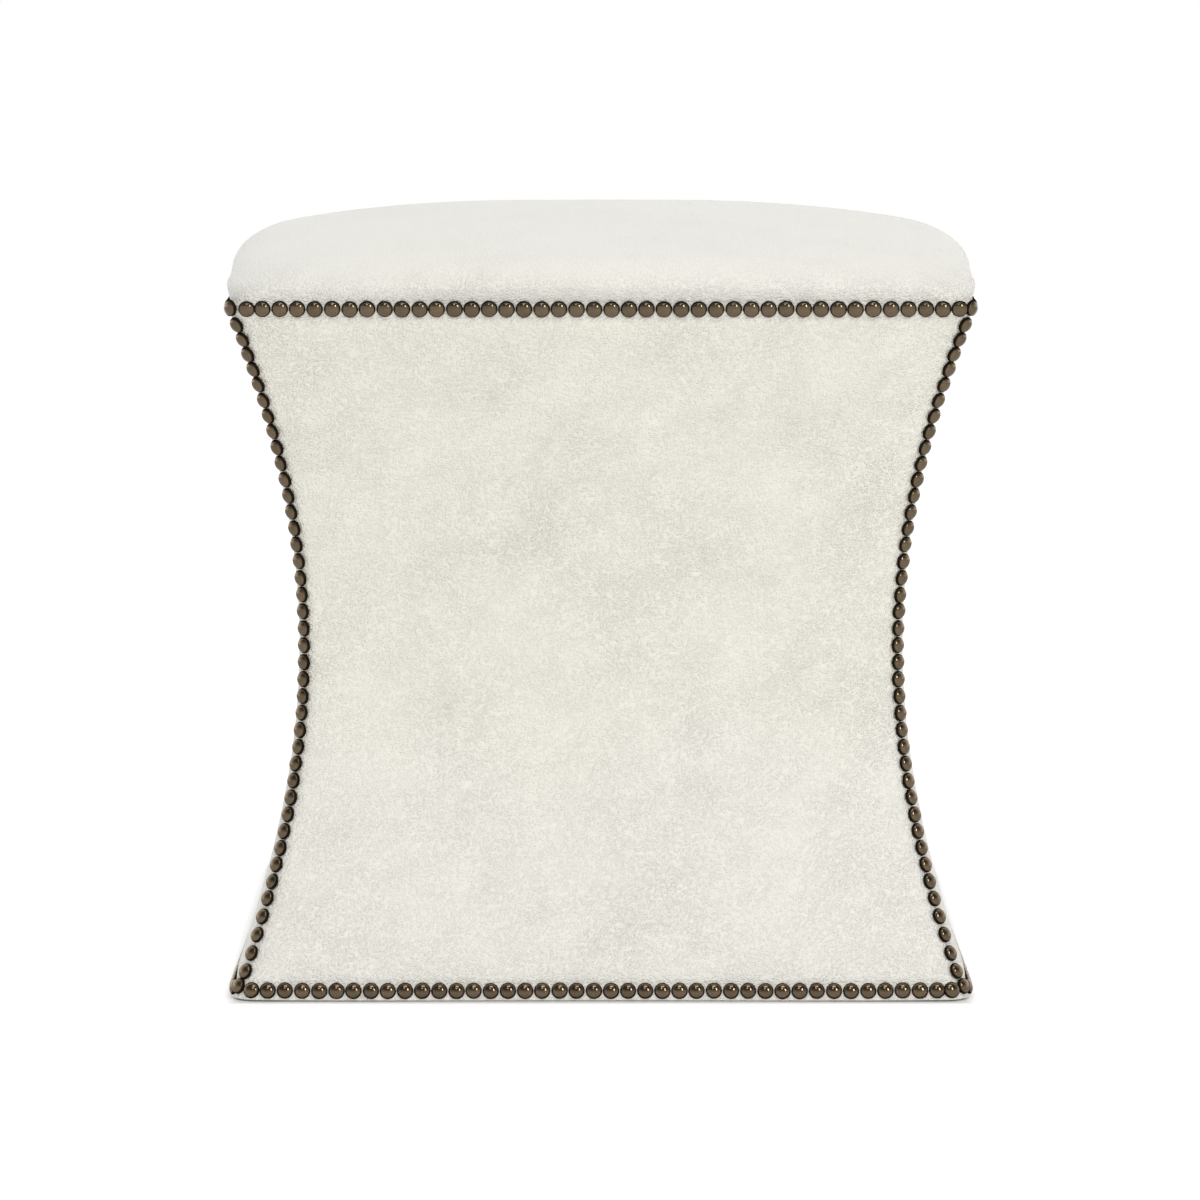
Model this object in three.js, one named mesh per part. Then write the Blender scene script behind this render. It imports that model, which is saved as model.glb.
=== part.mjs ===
// An upholstered square footstool with concave sides: a wooden frame, bent liners,
// wadding, leather covers, a crowned seat and rows of domed nail heads.
// Millimetres, +Z up. The origin is on the floor, under the middle of the stool.
import * as THREE from "three";

// Outside shape of the leather
const waistHalfWidth = 198.7; // half the width at the narrowest height
const edgeHalfWidth = 241.2; // half the width at either nail row
const waistRise = 1.9; // the middle between the rows to the narrowest height
const flareBendShare = 0.63; // how straight the sides flare, where 0 is a parabola
const lowerRowHeight = 6.6; // the floor to the middle of the lower nails
const panelHeight = 447.4; // the lower nail row to the upper one
const cornerRadiusTop = 12; // of the upright corners, at the upper nail row
const cornerRadiusBottom = 20; // the same at the lower nail row
const sideBulge = 2.2; // how far each side swells out in the middle
const footBulge = 0; // the same at the leather's foot, where it is drawn in
const swellReach = 13; // the foot to the full swell

// Seat
const seatOverhang = 2.8; // how far the seat swells out past the upper nail row
const seatBulge = 6.7; // how far it swells out in the middle of a side
const seatCornerRadius = 52.7; // of the seat's corners there, seen from above
const seatWidestRise = 17.4; // the upper nail row to the widest place
const seatShoulderRise = 14.3; // how far the shoulder adds to the dome
const seatShoulderDepth = 23.9; // how far in the shoulder reaches
const seatCrown = 21.3; // how far the dome rises on its own
const seatCornerDropShare = 0.33; // how much lower the seat is towards a corner, of its height

// Layers, from the outside in
const leatherThickness = 1.2;
const waddingThickness = 7;
const linerThickness = 3;
const dustClothThickness = 0.5;
const gap = 0.3; // between pieces that lie against each other
const foamGap = 0.8; // the same between the seat's foam and its leather

// Wooden frame
const postWidth = 32;
const postArris = 2; // least flat on a post's outer edge
const railThickness = 20;
const baseRailHeight = 60;
const waistRailHeight = 45;
const topRailHeight = 50;
const deckThickness = 15;
const deckCornerRadius = 26;
const cornerBlockLeg = 30;
const cornerBlockHeight = 50;

// Under the base
const dustCoverHeight = 0.8; // the floor to the dust cover
const dustCoverInset = 8; // the leather's edge to the dust cover's edge
const dustCoverCornerRadius = 12;
const dustCoverHoleGap = 1; // round each glide
const glideRadius = 11;
const glideFlatRadius = 9; // the flat that meets the floor
const glideEdgeRise = 1.2; // height of the glide's rounded edge

// Nail heads
const nailRadius = 5.2;
const nailHeight = 3.6; // of the flat that stands for the dome's crown
const nailCrownShare = 0.6; // how wide that flat is, of the head
const nailPitch = 11.05; // along the upper and lower rows
const cornerNailPitch = 11.45; // down the corners
const nailNeckHeight = 0.9; // where one head meets the next
const nailNeckShare = 0.5; // of the head's radius
const nailEndShare = 0.75; // how far past its last centre a row reaches, of the head's radius
const nailLeanShare = 0.9; // how far a row leans with the leather, of its slope

// How finely the curves are stepped
const profileSteps = 11;
const flatSteps = 6;
const cornerSteps = 3;
const shoulderSteps = 4;
const crownSteps = 4;
const glideSteps = 16;
const cornerDropPower = 2.25;
const cornerEasePower = 0.3; // how soon the seat's outline turns round towards its middle
const probeShare = 0.1; // of a nail pitch, for the direction of a row

// Heights that follow
const upperRowHeight = lowerRowHeight + panelHeight;
const waistHeight = (lowerRowHeight + upperRowHeight) / 2 + waistRise;
const coverFoot = dustCoverHeight + dustClothThickness + gap;
const frameFoot = coverFoot + leatherThickness + gap;
const deckFoot = upperRowHeight - deckThickness / 2;
const deckTop = deckFoot + deckThickness;
const frameTop = deckFoot - gap;

// Distances in from the leather's outside
const waddingInset = leatherThickness + gap;
const linerInset = waddingInset + waddingThickness + gap;
const frameInset = linerInset + linerThickness + gap;
const glideInset = frameInset + postWidth / 2;
const turnUnder = glideInset - glideRadius - gap;

const nailStandOff = gap + (nailPitch / 2) ** 2 / (8 * cornerRadiusTop);

const leatherFinish = { color: 0xe9e6dc, roughness: 0.55, metalness: 0 };
const nailFinish = { color: 0x6e5f4a, roughness: 0.35, metalness: 0.9 };
const woodFinish = { color: 0xc9a878, roughness: 0.7, metalness: 0 };
const plywoodFinish = { color: 0xd4b98c, roughness: 0.65, metalness: 0 };
const linerFinish = { color: 0xa8906c, roughness: 0.9, metalness: 0 };
const waddingFinish = { color: 0xf2f0ea, roughness: 1, metalness: 0 };
const foamFinish = { color: 0xe8dfb8, roughness: 0.95, metalness: 0 };
const dustClothFinish = { color: 0x1c1c1e, roughness: 0.95, metalness: 0 };
const glideFinish = { color: 0x2a2724, roughness: 0.5, metalness: 0 };

const sideNames = ["front", "right", "back", "left"];
const cornerNames = ["front_left", "front_right", "back_right", "back_left"];

// The concave profile is a hyperbola through both nail rows and the waist.
const halfChord = panelHeight / 2;
const flareDepth = (edgeHalfWidth - waistHalfWidth) / (Math.sqrt(1 + flareBendShare ** 2) - 1);

function curveHalfWidth(height) {
  const bend = (flareBendShare * (height - waistHeight)) / halfChord;
  return waistHalfWidth + flareDepth * (Math.sqrt(1 + bend ** 2) - 1);
}

function curveSlope(height) {
  const bend = (flareBendShare * (height - waistHeight)) / halfChord;
  return (flareDepth * flareBendShare * bend) / (Math.sqrt(1 + bend ** 2) * halfChord);
}

// Every layer bends at the same heights, so the layers stay parallel.
const swellFoot = coverFoot + swellReach;
const profileHeights = [coverFoot];
for (let i = 0; i <= profileSteps; i++) {
  profileHeights.push(THREE.MathUtils.lerp(swellFoot, upperRowHeight, i / profileSteps));
}

function halfWidthAt(height) {
  const inner = profileHeights.slice(1, -1);
  const above = inner.filter((h) => h <= height).length;
  const [low, high] = [profileHeights[above], profileHeights[above + 1]];
  const share = (height - low) / (high - low);
  return THREE.MathUtils.lerp(curveHalfWidth(low), curveHalfWidth(high), share);
}

const rowHalfWidth = halfWidthAt(upperRowHeight);
const seatHalfWidth = rowHalfWidth + seatOverhang;

function heightsBetween(low, high) {
  const inside = profileHeights.filter((h) => h > low + gap && h < high - gap);
  return [low, ...inside, high];
}

function cornerRadiusAt(height) {
  const share = (height - lowerRowHeight) / panelHeight;
  return THREE.MathUtils.lerp(cornerRadiusBottom, cornerRadiusTop, share);
}

function bulgeAt(height) {
  const share = Math.min((height - coverFoot) / swellReach, 1);
  return THREE.MathUtils.lerp(footBulge, sideBulge, share);
}

// The front side's outline seen from above, from one corner's diagonal to the next.
// It swells by bulge in the middle and stands clear of the diagonals by clearance.
function sideOutline(half, radius, bulge, height, clearance = 0) {
  const round = Math.max(radius, gap);
  const flat = half - clearance - round;
  const points = [];
  const addCorner = (side, share) => {
    const angle = (share * Math.PI) / 4;
    const x = side * (flat + round * Math.sin(angle));
    points.push(new THREE.Vector3(x, -(flat + clearance + round * Math.cos(angle)), height));
  };
  for (let i = cornerSteps; i > 0; i--) addCorner(-1, i / cornerSteps);
  for (let i = 0; i <= flatSteps; i++) {
    const share = (2 * i) / flatSteps - 1;
    const swell = (bulge * (1 + Math.cos(Math.PI * share))) / 2;
    points.push(new THREE.Vector3(share * flat, -half - swell, height));
  }
  for (let i = 1; i <= cornerSteps; i++) addCorner(1, i / cornerSteps);
  return points;
}

// The same outline carried round all four sides.
function loopOutline(half, radius, bulge, height) {
  const side = sideOutline(half, radius, bulge, height).slice(0, -1);
  const up = new THREE.Vector3(0, 0, 1);
  return sideNames.flatMap((name, turn) =>
    side.map((point) => point.clone().applyAxisAngle(up, (turn * Math.PI) / 2)),
  );
}

function outlineNormal(outline) {
  const normal = new THREE.Vector3();
  outline.forEach((point, i) => {
    normal.add(new THREE.Vector3().crossVectors(point, outline[(i + 1) % outline.length]));
  });
  return normal.normalize();
}

function capFaces(outline) {
  const across = outline[1].clone().sub(outline[0]).normalize();
  const upward = outlineNormal(outline).cross(across);
  const flat = outline.map((p) => new THREE.Vector2(p.dot(across), p.dot(upward)));
  return THREE.ShapeUtils.triangulateShape(flat, []);
}

// A closed solid through a list of outlines that match point for point. Each quad is
// split along its shorter diagonal, so that layers that lie together bend alike.
function loft(sections) {
  const count = sections[0].length;
  const last = (sections.length - 1) * count;
  const points = sections.flat();
  const faces = [];
  for (let start = 0; start < last; start += count) {
    for (let i = 0; i < count; i++) {
      const a = start + i;
      const b = start + ((i + 1) % count);
      const c = b + count;
      const d = a + count;
      const acrossFirst = points[a].distanceTo(points[c]) <= points[b].distanceTo(points[d]);
      if (acrossFirst) faces.push([a, b, c], [a, c, d]);
      else faces.push([a, b, d], [b, c, d]);
    }
  }
  capFaces(sections[0]).forEach(([a, b, c]) => faces.push([c, b, a]));
  capFaces(sections.at(-1)).forEach(([a, b, c]) => faces.push([last + a, last + b, last + c]));
  const volume = faces.reduce(
    (sum, [a, b, c]) => sum + points[a].dot(points[b].clone().cross(points[c])),
    0,
  );
  if (volume < 0) faces.forEach((face) => face.reverse());
  const geometry = new THREE.BufferGeometry();
  geometry.setAttribute(
    "position",
    new THREE.Float32BufferAttribute(points.flatMap((p) => p.toArray()), 3),
  );
  geometry.setIndex(faces.flat());
  geometry.computeVertexNormals();
  return geometry;
}

// A layer on the front side. Its section is a closed list of heights and insets,
// and each point of the section runs along the side as one line.
function sideLayer(section) {
  const lines = section.map(({ height, inset, bulge }) => {
    const radius = cornerRadiusAt(height) - inset;
    return sideOutline(halfWidthAt(height) - inset, radius, bulge, height, gap / 2);
  });
  return loft(lines[0].map((point, column) => lines.map((line) => line[column])));
}

function sideCover() {
  const outer = heightsBetween(coverFoot, upperRowHeight - gap / 2);
  const inner = heightsBetween(coverFoot + leatherThickness, upperRowHeight - gap / 2);
  const outside = outer.map((height) => ({ height, inset: 0, bulge: bulgeAt(height) }));
  const inside = inner
    .map((height) => ({ height, inset: leatherThickness, bulge: bulgeAt(height) }))
    .reverse();
  const hem = [
    { height: coverFoot + leatherThickness, inset: turnUnder, bulge: 0 },
    { height: coverFoot, inset: turnUnder, bulge: 0 },
  ];
  return sideLayer([...outside, ...inside, ...hem]);
}

function sideWadding() {
  const heights = heightsBetween(frameFoot, frameTop);
  const outside = heights.map((height) => ({
    height,
    inset: waddingInset,
    bulge: bulgeAt(height),
  }));
  const inset = waddingInset + waddingThickness;
  const inside = heights.map((height) => ({ height, inset, bulge: 0 })).reverse();
  return sideLayer([...outside, ...inside]);
}

// A straight piece on the front side between two heights, which follows the profile.
// reach(height) is half its length, and inset and thickness are across the side.
function straightPiece(low, high, inset, thickness, reach) {
  const sections = heightsBetween(low, high).map((height) => {
    const end = reach(height);
    const outer = inset - halfWidthAt(height);
    const inner = outer + thickness;
    return [
      [-end, outer],
      [end, outer],
      [end, inner],
      [-end, inner],
    ].map(([x, y]) => new THREE.Vector3(x, y, height));
  });
  return loft(sections);
}

function sideLiner() {
  const reach = (height) =>
    halfWidthAt(height) - Math.max(cornerRadiusAt(height), frameInset) - gap;
  return straightPiece(frameFoot, frameTop, linerInset, linerThickness, reach);
}

function rail(low, high) {
  const reach = (height) => halfWidthAt(height) - frameInset - postWidth - gap;
  return straightPiece(low, high, frameInset, railThickness, reach);
}

// A corner post, sawn to the profile on both its outer faces.
function cornerPost() {
  const sections = heightsBetween(frameFoot, frameTop).map((height) => {
    const outer = halfWidthAt(height) - frameInset;
    const inner = outer - postWidth;
    const arris = Math.max(cornerRadiusAt(height) - frameInset, postArris);
    return [
      [outer, inner],
      [outer, outer - arris],
      [outer - arris, outer],
      [inner, outer],
      [inner, inner],
    ].map(([x, y]) => new THREE.Vector3(-x, -y, height));
  });
  return loft(sections);
}

// A block glued behind a corner post, between the two base rails.
function cornerBlock() {
  const heights = heightsBetween(frameFoot, frameFoot + cornerBlockHeight);
  const sections = heights.map((height) => {
    const outer = halfWidthAt(height) - frameInset;
    const railSide = outer - railThickness - gap;
    const postSide = outer - postWidth - gap;
    const tip = postSide - cornerBlockLeg;
    return [
      [railSide, postSide],
      [postSide, postSide],
      [postSide, railSide],
      [tip, railSide],
      [railSide, tip],
    ].map(([x, y]) => new THREE.Vector3(-x, -y, height));
  });
  return loft(sections);
}

function seatDeck() {
  const inset = leatherThickness + gap;
  const half = halfWidthAt(deckFoot) - inset;
  return loft([
    loopOutline(half, deckCornerRadius, bulgeAt(deckFoot), deckFoot),
    loopOutline(half, deckCornerRadius, bulgeAt(deckFoot), deckTop),
  ]);
}

// Lifts the points of a ring by rise, and by less towards the corners.
function liftRing(ring, rise, half) {
  const fade = Math.min(rise / seatWidestRise, 1) ** 2;
  ring.forEach((point) => {
    const reach = Math.abs(point.x * point.y) / half ** 2;
    point.z += rise * (1 - seatCornerDropShare * fade * reach ** cornerDropPower);
  });
  return ring;
}

// The seat's outline below its widest place.
function lowerSeatRing(rise, inset) {
  const share = THREE.MathUtils.smoothstep(rise, 0, seatWidestRise);
  const half = THREE.MathUtils.lerp(rowHalfWidth, seatHalfWidth, share) - inset;
  const radius = THREE.MathUtils.lerp(cornerRadiusTop, seatCornerRadius, share) - inset;
  const bulge = THREE.MathUtils.lerp(sideBulge, seatBulge, share);
  const ring = loopOutline(half, radius, bulge, upperRowHeight);
  return liftRing(ring, rise, seatHalfWidth - inset);
}

// The seat's outline above it. turn is 0 at the widest place and a right angle on the dome.
function upperSeatRing(half, turn, inset) {
  const widthShare = half / seatHalfWidth;
  const edgeShare = 1 - seatCornerRadius / seatHalfWidth;
  const radius = half * (1 - edgeShare * widthShare ** cornerEasePower) - inset;
  const dome = seatShoulderRise * Math.sin(turn) + seatCrown * (1 - widthShare ** 2);
  const foot = upperRowHeight - inset * Math.sin(turn);
  const ring = loopOutline(half - inset, radius, seatBulge * widthShare, foot);
  return liftRing(ring, seatWidestRise + dome, seatHalfWidth - inset);
}

// The seat's outlines from a flat foot to the middle of the dome.
function seatRings(foot, inset) {
  const footRise = foot - upperRowHeight;
  const middleRise = Math.max(seatWidestRise / 2, footRise + gap);
  const rings = [footRise, middleRise, seatWidestRise].map((rise) => lowerSeatRing(rise, inset));
  for (let i = 1; i <= shoulderSteps; i++) {
    const turn = (i / shoulderSteps) * (Math.PI / 2);
    const half = seatHalfWidth - seatShoulderDepth * (1 - Math.cos(turn));
    rings.push(upperSeatRing(half, turn, inset));
  }
  const domeHalf = seatHalfWidth - seatShoulderDepth;
  for (let i = 1; i <= crownSteps; i++) {
    rings.push(upperSeatRing(domeHalf * (1 - i / (crownSteps + 1)), Math.PI / 2, inset));
  }
  rings[0].forEach((point) => point.setZ(foot));
  return rings;
}

function seatCover() {
  const foot = upperRowHeight + gap / 2;
  const outside = seatRings(foot, 0).reverse();
  return loft([...outside, ...seatRings(foot, leatherThickness)]);
}

function seatFoam() {
  return loft(seatRings(deckTop + gap, leatherThickness + foamGap));
}

function dustCover() {
  const half = halfWidthAt(coverFoot) - dustCoverInset;
  const flat = half - dustCoverCornerRadius;
  const shape = new THREE.Shape();
  sideNames.forEach((name, turn) => {
    const angle = (turn * Math.PI) / 2;
    const corner = new THREE.Vector2(flat, flat).rotateAround(new THREE.Vector2(), angle);
    shape.absarc(corner.x, corner.y, dustCoverCornerRadius, angle, angle + Math.PI / 2);
  });
  const glideReach = halfWidthAt(frameFoot) - glideInset;
  cornerNames.forEach((name, turn) => {
    const angle = (turn * Math.PI) / 2;
    const centre = new THREE.Vector2(glideReach, glideReach);
    centre.rotateAround(new THREE.Vector2(), angle);
    const hole = new THREE.Path();
    hole.absarc(centre.x, centre.y, glideRadius + dustCoverHoleGap, 0, 2 * Math.PI);
    shape.holes.push(hole);
  });
  const settings = { depth: dustClothThickness, bevelEnabled: false, curveSegments: 6 };
  return new THREE.ExtrudeGeometry(shape, settings).translate(0, 0, dustCoverHeight);
}

// A glide with a flat face on the floor, under a corner post.
function glide() {
  const profile = [
    [0, 0],
    [glideFlatRadius, 0],
    [glideRadius, glideEdgeRise],
    [glideRadius, frameFoot - gap],
    [0, frameFoot - gap],
  ].map(([radius, height]) => new THREE.Vector2(radius, height));
  const reach = halfWidthAt(frameFoot) - glideInset;
  const upright = new THREE.LatheGeometry(profile, glideSteps).rotateX(Math.PI / 2);
  return upright.translate(-reach, -reach, 0);
}

// The point at a distance along a list of points.
function alongPoints(points) {
  const curve = new THREE.CurvePath();
  for (let i = 1; i < points.length; i++) curve.add(new THREE.LineCurve3(points[i - 1], points[i]));
  const length = curve.getLength();
  const at = (distance) => curve.getPointAt(THREE.MathUtils.clamp(distance / length, 0, 1));
  return { length, at };
}

// A row of domed heads, each joined to the next by a low neck.
// place(distance) gives a point on the leather, and outward the way it faces there.
function nailRow(count, pitch, first, at, outwardAt) {
  const sections = [];
  const addSection = (distance, halfWidth, height) => {
    const probe = pitch * probeShare;
    const along = at(distance + probe).sub(at(distance - probe)).normalize();
    const outward = outwardAt(along);
    const across = new THREE.Vector3().crossVectors(along, outward).multiplyScalar(halfWidth);
    const foot = at(distance).addScaledVector(outward, nailStandOff);
    const crown = foot.clone().addScaledVector(outward, height);
    sections.push([
      foot.clone().add(across),
      crown.clone().addScaledVector(across, nailCrownShare),
      crown.clone().addScaledVector(across, -nailCrownShare),
      foot.clone().sub(across),
    ]);
  };
  const neckWidth = nailRadius * nailNeckShare;
  const reach = nailRadius * nailEndShare;
  addSection(first - reach, neckWidth, nailNeckHeight);
  for (let i = 0; i < count; i++) {
    const centre = first + i * pitch;
    addSection(centre, nailRadius, nailHeight);
    const next = i + 1 < count ? centre + pitch / 2 : centre + reach;
    addSection(next, neckWidth, nailNeckHeight);
  }
  return loft(sections);
}

// A row along the front side. Its first head is the one at the front left corner.
function sideNailRow(height) {
  const half = halfWidthAt(height);
  const loop = loopOutline(half, cornerRadiusAt(height), bulgeAt(height), height);
  const sideCount = loop.length / sideNames.length;
  const lead = loop.slice(-cornerSteps);
  const { length, at } = alongPoints([...lead, ...loop.slice(0, sideCount + 1)]);
  const leadLength = alongPoints([...lead, loop[0]]).length;
  const count = Math.round((length - leadLength) / nailPitch);
  const pitch = (length - leadLength) / count;
  const lean = new THREE.Vector3(0, 0, -curveSlope(height) * nailLeanShare);
  const outwardAt = (along) =>
    new THREE.Vector3(along.y, -along.x, 0).normalize().add(lean).normalize();
  return nailRow(count, pitch, leadLength, at, outwardAt);
}

// A row down the front left corner, between the upper row and the lower one.
function cornerNailRow() {
  const diagonalShare = 1 - Math.SQRT1_2;
  const edge = heightsBetween(lowerRowHeight, upperRowHeight).map((height) => {
    const place = halfWidthAt(height) - cornerRadiusAt(height) * diagonalShare;
    return new THREE.Vector3(-place, -place, height);
  });
  const { length, at } = alongPoints(edge);
  const spaces = Math.round(length / cornerNailPitch);
  const pitch = length / spaces;
  const side = new THREE.Vector3(1, -1, 0).normalize();
  const outwardAt = (along) => new THREE.Vector3().crossVectors(side, along).normalize();
  return nailRow(spaces - 1, pitch, pitch, at, outwardAt);
}

function piece(name, geometry, finish) {
  const mesh = new THREE.Mesh(geometry, new THREE.MeshStandardMaterial(finish));
  mesh.name = name;
  return mesh;
}

// The pieces that each side or corner has one of, as [name, geometry, finish].
const sidePieces = [
  ["side_cover", sideCover(), leatherFinish],
  ["side_wadding", sideWadding(), waddingFinish],
  ["side_liner", sideLiner(), linerFinish],
  ["base_rail", rail(frameFoot, frameFoot + baseRailHeight), woodFinish],
  [
    "waist_rail",
    rail(waistHeight - waistRailHeight / 2, waistHeight + waistRailHeight / 2),
    woodFinish,
  ],
  ["top_rail", rail(frameTop - topRailHeight, frameTop), woodFinish],
  ["upper_nails", sideNailRow(upperRowHeight), nailFinish],
  ["lower_nails", sideNailRow(lowerRowHeight), nailFinish],
];
const cornerPieces = [
  ["corner_post", cornerPost(), woodFinish],
  ["corner_block", cornerBlock(), woodFinish],
  ["corner_nails", cornerNailRow(), nailFinish],
  ["glide", glide(), glideFinish],
];

const footstool = new THREE.Group();
sideNames.forEach((sideName, turn) => {
  const quarter = new THREE.Group();
  quarter.rotation.z = (turn * Math.PI) / 2;
  sidePieces.forEach(([name, geometry, finish]) =>
    quarter.add(piece(`${name}_${sideName}`, geometry, finish)),
  );
  cornerPieces.forEach(([name, geometry, finish]) =>
    quarter.add(piece(`${name}_${cornerNames[turn]}`, geometry, finish)),
  );
  footstool.add(quarter);
});
footstool.add(piece("seat_deck", seatDeck(), plywoodFinish));
footstool.add(piece("seat_foam", seatFoam(), foamFinish));
footstool.add(piece("seat_cover", seatCover(), leatherFinish));
footstool.add(piece("dust_cover", dustCover(), dustClothFinish));

export default footstool;
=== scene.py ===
# Upholstered square footstool with concave sides, a crowned leather seat and
# rows of domed nail heads. The stool is worked out in millimetres, with the
# origin on the floor under its middle and the front towards -Y. Meshes, stage,
# lamps, camera and the scales inside the materials are in metres.
import math
import random

import bmesh
import bpy
from mathutils import Euler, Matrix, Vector

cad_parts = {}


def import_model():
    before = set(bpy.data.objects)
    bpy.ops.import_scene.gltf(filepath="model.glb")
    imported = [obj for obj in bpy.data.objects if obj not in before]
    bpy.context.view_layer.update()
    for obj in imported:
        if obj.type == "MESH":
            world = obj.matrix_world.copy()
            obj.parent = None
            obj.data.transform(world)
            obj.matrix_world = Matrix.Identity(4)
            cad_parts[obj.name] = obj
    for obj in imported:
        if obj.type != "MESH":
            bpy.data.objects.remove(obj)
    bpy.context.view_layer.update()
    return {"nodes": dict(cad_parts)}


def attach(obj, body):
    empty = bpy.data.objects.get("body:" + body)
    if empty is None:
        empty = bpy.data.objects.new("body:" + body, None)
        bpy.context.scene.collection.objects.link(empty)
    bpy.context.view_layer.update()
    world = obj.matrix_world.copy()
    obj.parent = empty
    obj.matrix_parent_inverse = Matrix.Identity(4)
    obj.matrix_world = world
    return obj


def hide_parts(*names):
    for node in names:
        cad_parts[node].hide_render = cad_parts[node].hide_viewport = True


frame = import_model()

rng = random.Random(11)
FULL_TURN = 6.28

# ---------------------------------------------------------------- sizes (mm)
# The concave sides, from the lower nail row to the upper one.
WAIST_HALF = 198.7
EDGE_HALF = 241.2
WAIST_RISE = 1.9
FLARE_BEND = 0.63
FLARE_DEPTH = (EDGE_HALF - WAIST_HALF) / (math.sqrt(1 + FLARE_BEND**2) - 1)
LOWER_ROW = 6.6
PANEL = 447.4
UPPER_ROW = LOWER_ROW + PANEL
MIDDLE = (LOWER_ROW + UPPER_ROW) / 2 + WAIST_RISE
RADIUS_TOP = 9.0
RADIUS_BOTTOM = 16.5
ROW_BULGE_TOP = 2.2
ROW_BULGE_BOTTOM = -1.6
BULGE_POWER = 0.85
SMALLEST_RADIUS = 0.3

# The leather on them: swells beside the nails, tucks at them, ripples, hem.
LEATHER = 1.2
GAP = 0.3
PILLOW = 1.5
PILLOW_START = 4.6
PILLOW_REACH = 2.8
PILLOW_EDGE = 14.0
PILLOW_POWER = 1.2
PILLOW_EXTRA = 0.62
PILLOW_FADE = 49.0
TUCK = 0.3
TUCK_REACH = 5.0
RIPPLE = 0.16
FINE_RIPPLE = 0.05
RIPPLE_START = 16.0
COVER_FOOT = 1.6
HEM_SAG = 0.8
TURN_UNDER = 16.8
# How far in and how far down each ring of the turned hem lies.
HEM_RINGS = ((0.7, -0.4), (2.0, -0.5), (6.0, -0.5), (TURN_UNDER, -0.3))
WADDING_DEPTH = 6.9
WADDING_CLEAR = 0.4

# The seat, measured up from the upper nail row.
SEAT_OVERHANG = 2.8
SEAT_RADIUS = 52.7
SEAT_WIDEST = 17.4
SEAT_HELD = 6.0
SEAT_SHOULDER = 14.3
SEAT_SHOULDER_DEPTH = 23.9
SEAT_CROWN = 21.3
SEAT_BULGE = 6.7
SEAT_DROP = 0.33
SEAT_DROP_REACH = 33.0
SEAT_DROP_POWER = 2.25
SEAT_EASE = 0.3
SEAT_TIP = 0.02
SEAT_TUCK = 0.6
SEAT_RIPPLE_START = 14.0
# How softly the seat's side and its corner leave the nail row.
SIDE_SOFTNESS = 0.45
CORNER_SOFTNESS = 0.3
FOAM_FOOT = 7.8
FOAM_INSET = LEATHER + 0.8

# The nail heads. Proud is how far one stands out of its line, or in if negative.
HEAD_RADIUS = 5.45
HEAD_HEIGHT = 3.5
HEAD_BACK = -0.55
# Share of the radius and height of the two rings behind the dome.
HEAD_BACK_RINGS = ((0.93, -0.5), (0.99, -0.2))
HEAD_TILT = 0.025
HEAD_SIZES = (0.985, 1.015)
UPPER_RAISE = 1.15
LOWER_RAISE = 0.05
LOWER_LIFT = 0.9
UPPER_PROUD = -0.3
LOWER_PROUD = -0.35
CORNER_PROUD = 0.2
CORNER_ROW_PROUD = 0.5

# How closely the points of a side, a cover and its wadding crowd at their ends.
FLAT_CROWDING = 0.8
COVER_CROWDING = 0.85
WADDING_CROWDING = 0.7

SIDES = ("front", "right", "back", "left")
CORNERS = ("front_left", "front_right", "back_right", "back_left")


# ---------------------------------------------------------------- curves
def lerp(a, b, t):
    return a + (b - a) * t


def clamped(t):
    return min(max(t, 0), 1)


def smooth(t):
    return t * t * (3 - 2 * t)


def eased(t, softness):
    """From 0 to 1, ending softly; the softness says how softly it starts."""
    return softness * smooth(t) + (1 - softness) * math.sin(t * math.pi / 2)


def nearness(distance, reach):
    """1 at the nails, fading to 0 over about the reach."""
    return math.exp(-((distance / reach) ** 2))


def half_at(z):
    """Half width of the stool at height z."""
    bend = FLARE_BEND * (z - MIDDLE) / (PANEL / 2)
    return WAIST_HALF + FLARE_DEPTH * (math.sqrt(1 + bend**2) - 1)


def slope_at(z):
    return half_at(z + 0.5) - half_at(z - 0.5)


def radius_at(z):
    """Radius of the corner edge at height z."""
    return lerp(RADIUS_BOTTOM, RADIUS_TOP, (z - LOWER_ROW) / PANEL)


def row_bulge(z):
    """How far the line of a side is bowed out in its middle at height z."""
    share = clamped((z - LOWER_ROW) / PANEL)
    return lerp(ROW_BULGE_BOTTOM, ROW_BULGE_TOP, 1 - (1 - share) ** 3)


def cosine_swell(share):
    return ((1 + math.cos(math.pi * share)) / 2) ** BULGE_POWER


def pillow_rise(distance, reach):
    return 1 - math.exp(-((max(distance - PILLOW_START, 0) / reach) ** PILLOW_POWER))


def pillow_at(near_row, edge):
    """How far the leather stands out, by its distance to the nail rows."""
    rise = pillow_rise(near_row, PILLOW_REACH)
    inner = pillow_rise(edge, PILLOW_EDGE)
    return PILLOW * rise * inner * (1 + PILLOW_EXTRA * math.exp(-near_row / PILLOW_FADE))


ROW_HALF = half_at(UPPER_ROW)
SEAT_HALF = ROW_HALF + SEAT_OVERHANG


def crowded(steps, strength):
    """Shares from -1 to 1 that lie closer together towards both ends."""
    shares = [2 * i / steps - 1 for i in range(steps + 1)]
    return [lerp(t, math.sin(t * math.pi / 2), strength) for t in shares]


def crowded_heights(foot, top, steps, strength):
    return [lerp(foot, top, (share + 1) / 2) for share in crowded(steps, strength)]


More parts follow.
